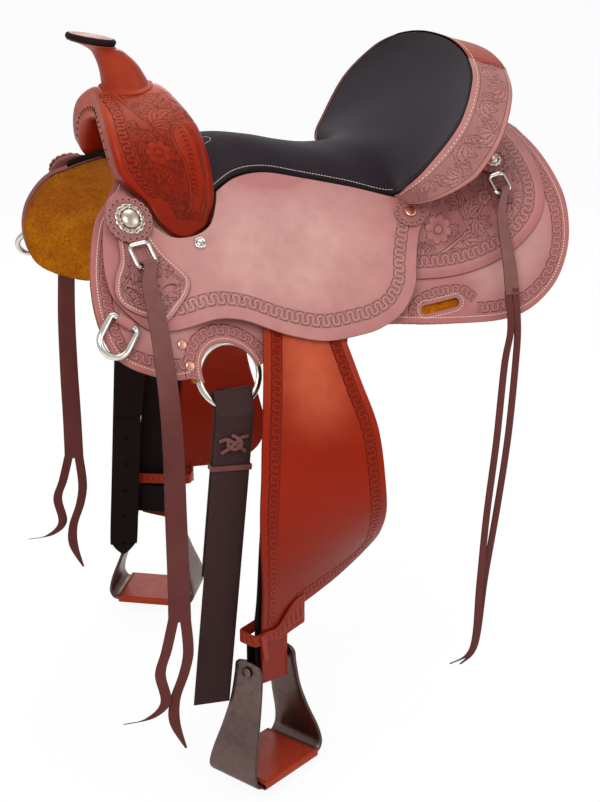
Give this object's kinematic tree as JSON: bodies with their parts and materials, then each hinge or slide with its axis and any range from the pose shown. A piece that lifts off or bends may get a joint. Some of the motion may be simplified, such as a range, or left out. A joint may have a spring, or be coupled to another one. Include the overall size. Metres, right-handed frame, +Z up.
{
  "type": "western trail saddle",
  "caption": "Western trail saddle with padded suede seat, round tooled skirts, horn, in-skirt rigging, saddle strings, fenders and wide-tread bell stirrups.",
  "frame": {"origin": "on the centre line where the saddle lies on the horse's back, at the lowest point of the seat's length", "axes": "+Z up, -X toward the pommel, -Y toward the near (left) side"},
  "size_m": [0.6789, 0.6802, 0.9527],
  "materials": {
    "rose_leather": "oiled, tooled",
    "orange_leather": "oiled, tooled",
    "dark_leather": "black, waxed",
    "suede": "napped suede",
    "fleece": "dense pile",
    "string": "soft latigo leather",
    "nylon": "ribbed webbing",
    "wood": "sealed",
    "silver": "polished nickel silver",
    "copper": "satin copper",
    "aluminium": "brushed"
  },
  "bodies": {
    "saddle": {"cantle_back": "rose_leather", "cinch_ring_near": "silver", "cinch_ring_off": "silver", "concho_front_near": "silver", "concho_front_off": "silver", "concho_rear_near": "silver", "concho_rear_off": "silver", "concho_side_near": "copper", "concho_side_off": "copper", "dee_tab_near": "rose_leather", "dee_tab_off": "rose_leather", "ear_plate_near": "rose_leather", "ear_plate_off": "rose_leather", "fleece_near": "fleece", "fleece_off": "fleece", "fork_cover": "orange_leather", "ground_seat": "dark_leather", "horn_cap": "orange_leather", "horn_wrap": "orange_leather", "rear_jockey_near": "rose_leather", "rear_jockey_off": "rose_leather", "rosette_front_near": "rose_leather", "rosette_front_off": "rose_leather", "rosette_rear_near": "rose_leather", "rosette_rear_off": "rose_leather", "rosette_side_near": "rose_leather", "rosette_side_off": "rose_leather", "seat": "suede", "seat_jockey_near": "rose_leather", "seat_jockey_off": "rose_leather", "skirt_near": "rose_leather", "skirt_off": "rose_leather", "tree": "wood"},
    "leg_near": {"fender_near": "orange_leather", "stirrup_leather_near": "dark_leather", "hobble_strap_near": "orange_leather"},
    "stirrup_body_near": {"stirrup_near": "aluminium", "tread_cover_near": "orange_leather", "stirrup_bolt_near": "aluminium"},
    "dee_body_near": {"dee_near": "silver"},
    "loop_body_front_near": {"loop_front_near": "silver"},
    "string_body_front_near": {"string_front_near": "string"},
    "loop_body_rear_near": {"loop_rear_near": "silver"},
    "string_body_rear_near": {"string_rear_near": "string"},
    "leg_off": {"fender_off": "orange_leather", "stirrup_leather_off": "dark_leather", "hobble_strap_off": "orange_leather"},
    "stirrup_body_off": {"stirrup_off": "aluminium", "tread_cover_off": "orange_leather", "stirrup_bolt_off": "aluminium"},
    "dee_body_off": {"dee_off": "silver"},
    "loop_body_front_off": {"loop_front_off": "silver"},
    "string_body_front_off": {"string_front_off": "string"},
    "loop_body_rear_off": {"loop_rear_off": "silver"},
    "string_body_rear_off": {"string_rear_off": "string"},
    "latigo_body": {"latigo": "nylon", "latigo_keeper": "string", "latigo_knot": "string"},
    "billet_body": {"off_billet": "dark_leather"}
  },
  "joints": [
    {"name": "fender_swing_near", "type": "hinge", "parent": "saddle", "child": "leg_near", "pos_m": [-0.1015, -0.1448, -0.0451], "axis": [-0.0728, 0.6734, -0.7357], "range_deg": [-12, 0]},
    {"name": "stirrup_pivot_near", "type": "hinge", "parent": "leg_near", "child": "stirrup_body_near", "pos_m": [-0.1495, -0.2693, -0.5802], "axis": [-0.866, -0.5, 0], "range_deg": [-5, 35]},
    {"name": "dee_lift_near", "type": "hinge", "parent": "saddle", "child": "dee_body_near", "pos_m": [-0.3137, -0.2309, -0.0999], "axis": [-0.7941, 0.1605, 0.5862], "range_deg": [0, 55]},
    {"name": "front_loop_lift_near", "type": "hinge", "parent": "saddle", "child": "loop_body_front_near", "pos_m": [-0.2813, -0.1802, -0.0181], "axis": [-0.9526, -0.2977, -0.063], "range_deg": [0, 35]},
    {"name": "front_string_swing_near", "type": "hinge", "parent": "loop_body_front_near", "child": "string_body_front_near", "pos_m": [-0.2739, -0.1988, -0.0419], "axis": [-0.9526, -0.2977, -0.063], "range_deg": [0, 60]},
    {"name": "rear_loop_lift_near", "type": "hinge", "parent": "saddle", "child": "loop_body_rear_near", "pos_m": [0.2298, -0.1326, 0.0172], "axis": [-0.9597, -0.0418, -0.2779], "range_deg": [0, 35]},
    {"name": "rear_string_swing_near", "type": "hinge", "parent": "loop_body_rear_near", "child": "string_body_rear_near", "pos_m": [0.2353, -0.1538, 0.0014], "axis": [-0.9597, -0.0418, -0.2779], "range_deg": [0, 45]},
    {"name": "fender_swing_off", "type": "hinge", "parent": "saddle", "child": "leg_off", "pos_m": [-0.1015, 0.1448, -0.0451], "axis": [0.0728, 0.6734, 0.7357], "range_deg": [-12, 0]},
    {"name": "stirrup_pivot_off", "type": "hinge", "parent": "leg_off", "child": "stirrup_body_off", "pos_m": [-0.1495, 0.2693, -0.5802], "axis": [0.866, -0.5, 0], "range_deg": [-5, 35]},
    {"name": "dee_lift_off", "type": "hinge", "parent": "saddle", "child": "dee_body_off", "pos_m": [-0.3137, 0.2309, -0.0999], "axis": [0.7941, 0.1605, -0.5862], "range_deg": [0, 55]},
    {"name": "front_loop_lift_off", "type": "hinge", "parent": "saddle", "child": "loop_body_front_off", "pos_m": [-0.2813, 0.1802, -0.0181], "axis": [0.9526, -0.2977, 0.063], "range_deg": [0, 35]},
    {"name": "front_string_swing_off", "type": "hinge", "parent": "loop_body_front_off", "child": "string_body_front_off", "pos_m": [-0.2739, 0.1988, -0.0419], "axis": [0.9526, -0.2977, 0.063], "range_deg": [0, 60]},
    {"name": "rear_loop_lift_off", "type": "hinge", "parent": "saddle", "child": "loop_body_rear_off", "pos_m": [0.2298, 0.1326, 0.0172], "axis": [0.9597, -0.0418, 0.2779], "range_deg": [0, 35]},
    {"name": "rear_string_swing_off", "type": "hinge", "parent": "loop_body_rear_off", "child": "string_body_rear_off", "pos_m": [0.2353, 0.1538, 0.0014], "axis": [0.9597, -0.0418, 0.2779], "range_deg": [0, 45]},
    {"name": "latigo_swing", "type": "hinge", "parent": "saddle", "child": "latigo_body", "pos_m": [-0.1828, -0.2453, -0.2157], "axis": [-0.9973, -0.0686, 0.0268], "range_deg": [-10, 0]},
    {"name": "billet_swing", "type": "hinge", "parent": "saddle", "child": "billet_body", "pos_m": [-0.1828, 0.2453, -0.2157], "axis": [0.9973, -0.0686, -0.0268], "range_deg": [-10, 0]}
  ]
}
